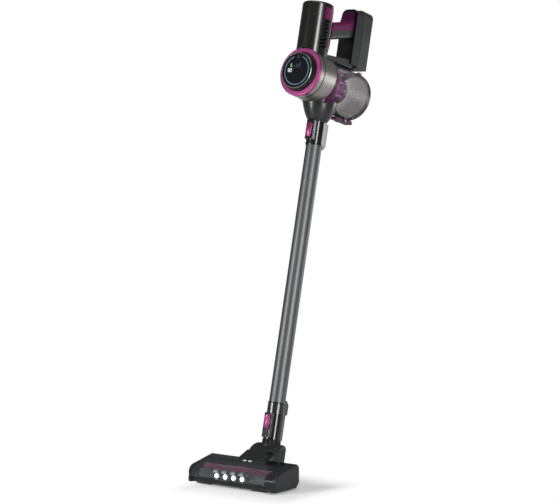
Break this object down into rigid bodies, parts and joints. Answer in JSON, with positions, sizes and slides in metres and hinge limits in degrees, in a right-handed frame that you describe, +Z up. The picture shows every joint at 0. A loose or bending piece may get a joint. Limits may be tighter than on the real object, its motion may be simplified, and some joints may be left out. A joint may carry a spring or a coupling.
{
  "type": "cordless stick vacuum",
  "caption": "Cordless stick vacuum: powered brush head with headlights, pitching and swivelling neck, slim wand, drum motor unit with display, clear bin and slide-off battery.",
  "frame": {"origin": "on the floor, under the centre of the whole part's box", "axes": "+Z up, -Y is the way the head points, +X is the operator's left"},
  "size_m": [0.248, 0.5304, 1.1],
  "materials": {
    "dark_plastic": "moulded charcoal plastic, fine satin texture",
    "gloss_black": "piano black plastic with a soft metallic flake",
    "smoked_window": "smoked clear plastic",
    "black_rubber": "soft black rubber",
    "felt": "dense grey felt",
    "circuit_board": "green solder mask",
    "led_lens": "clear lens over a white diode",
    "steel": "bright turned steel",
    "brass_bush": "sintered bronze",
    "plum_plastic": "translucent plum plastic",
    "bristle": "stiff nylon strands",
    "wheel_rubber": "hard black rubber",
    "wand_metal": "satin anodised graphite grey",
    "wire": "insulated wire",
    "titanium_paint": "brushed titanium-look metallic paint",
    "magenta_gloss": "pearl magenta, glossy",
    "magenta_plastic": "deep magenta plastic",
    "display_glass": "black display glass",
    "light_ring": "pale blue light guide",
    "dark_metallic": "dark gunmetal lacquer",
    "motor_can": "drawn motor can with windings inside",
    "grip_plastic": "satin charcoal plastic",
    "cell_wrap": "shrink-wrapped cell",
    "smoky_bin": "smoky clear plastic",
    "mesh_metal": "fine perforated steel"
  },
  "bodies": {
    "hand_unit": {"neck_socket": "gloss_black", "wand_lower_collar": "gloss_black", "wand_tube": "wand_metal", "wand_harness": "wire", "wand_upper_socket": "gloss_black", "intake_duct": "gloss_black", "main_housing": "titanium_paint", "front_ring": "magenta_gloss", "display_bezel": "gloss_black", "display_lens": "display_glass", "light_ring": "light_ring", "display_board": "circuit_board", "tower_shell": "dark_metallic", "tower_cap": "dark_metallic", "tower_spine": "magenta_plastic", "suction_motor": "motor_can", "exhaust_filter": "felt", "lower_arm": "dark_plastic", "handle_cover": "magenta_plastic", "handle_grip": "grip_plastic", "battery_dock": "grip_plastic", "dust_bin": "smoky_bin", "cyclone_cone": "plum_plastic", "mesh_shroud": "mesh_metal", "housing_screws": "steel", "latch_pins": "steel"},
    "neck": {"neck_yoke": "dark_plastic", "neck_collar": "gloss_black", "neck_hose": "black_rubber"},
    "floor_head": {"head_base": "dark_plastic", "head_top_cover": "gloss_black", "head_window": "smoked_window", "drive_end_cap": "dark_plastic", "idle_end_cap": "dark_plastic", "front_bumper": "black_rubber", "glide_pads": "felt", "led_board": "circuit_board", "led_lenses": "led_lens", "head_motor": "steel", "drive_belt": "black_rubber", "brush_bushes": "brass_bush", "head_pins": "steel", "base_screws": "steel"},
    "brush_roll": {"brush_core": "plum_plastic", "brush_bristles": "bristle", "brush_shaft": "steel", "brush_pulley": "dark_plastic"},
    "motor_rotor": {"motor_pulley": "steel"},
    "left_wheel": {"wheel_left": "wheel_rubber"},
    "right_wheel": {"wheel_right": "wheel_rubber"},
    "fan": {"impeller": "dark_plastic"},
    "trigger_lever": {"trigger": "magenta_plastic"},
    "wand_rocker": {"wand_latch": "magenta_gloss"},
    "head_rocker": {"head_latch": "magenta_gloss"},
    "door": {"bin_door": "smoky_bin"},
    "bin_lever": {"bin_latch": "plum_plastic"},
    "battery_pack": {"battery_case": "grip_plastic", "battery_cells": "cell_wrap"},
    "release_tab": {"battery_button": "black_rubber"}
  },
  "joints": [
    {"name": "neck_swivel", "type": "hinge", "parent": "hand_unit", "child": "neck", "pos_m": [0, -0.11357, 0.07854], "axis": [0, 0.2346, 0.9721], "range_deg": [-60, 60]},
    {"name": "neck_pitch", "type": "hinge", "parent": "neck", "child": "floor_head", "pos_m": [0, -0.12166, 0.045], "axis": [1, 0, 0], "range_deg": [-13.5, 60], "deforming": ["neck_hose"]},
    {"name": "brush_spin", "type": "hinge", "parent": "floor_head", "child": "brush_roll", "pos_m": [0, -0.21606, 0.0227], "axis": [1, 0, 0], "continuous": true},
    {"name": "belt_motor_spin", "type": "hinge", "parent": "floor_head", "child": "motor_rotor", "pos_m": [0.096, -0.17786, 0.038], "axis": [1, 0, 0], "continuous": true},
    {"name": "left_wheel_spin", "type": "hinge", "parent": "floor_head", "child": "left_wheel", "pos_m": [0.075, -0.17866, 0.0075], "axis": [1, 0, 0], "continuous": true},
    {"name": "right_wheel_spin", "type": "hinge", "parent": "floor_head", "child": "right_wheel", "pos_m": [-0.075, -0.17866, 0.0075], "axis": [1, 0, 0], "continuous": true},
    {"name": "impeller_spin", "type": "hinge", "parent": "hand_unit", "child": "fan", "pos_m": [0, 0.04479, 0.99033], "axis": [0, 0.2346, 0.9721], "continuous": true},
    {"name": "trigger_press", "type": "hinge", "parent": "hand_unit", "child": "trigger_lever", "pos_m": [0, 0.10217, 1.01455], "axis": [-1, 0, 0], "range_deg": [0, 8], "stiffness_Nm_per_rad": 0.12, "springref_deg": -3.44},
    {"name": "wand_latch_press", "type": "hinge", "parent": "hand_unit", "child": "wand_rocker", "pos_m": [0, 0.03566, 0.8012], "axis": [1, 0, 0], "range_deg": [0, 8], "stiffness_Nm_per_rad": 0.12, "springref_deg": -3.44},
    {"name": "head_latch_press", "type": "hinge", "parent": "hand_unit", "child": "head_rocker", "pos_m": [0, -0.12518, 0.13483], "axis": [1, 0, 0], "range_deg": [0, 8], "stiffness_Nm_per_rad": 0.12, "springref_deg": -3.44},
    {"name": "bin_door_open", "type": "hinge", "parent": "hand_unit", "child": "door", "pos_m": [0, 0.20535, 0.931], "axis": [1, 0, 0], "range_deg": [0, 75]},
    {"name": "bin_latch_press", "type": "hinge", "parent": "hand_unit", "child": "bin_lever", "pos_m": [0, 0.15915, 0.82056], "axis": [-1, 0, 0], "range_deg": [0, 5], "stiffness_Nm_per_rad": 0.12, "springref_deg": -3.44},
    {"name": "battery_slide", "type": "slide", "parent": "hand_unit", "child": "battery_pack", "axis": [0, 0.9721, -0.2346], "range_m": [0, 0.06]},
    {"name": "release_tab_press", "type": "slide", "parent": "hand_unit", "child": "release_tab", "axis": [0, -0.9721, 0.2346], "range_m": [0, 0.002], "stiffness_N_per_m": 400, "springref_m": -0.001}
  ],
  "couplings": [
    {"joint": "belt_motor_spin", "follows": "brush_spin", "ratio": 1.7627}
  ]
}
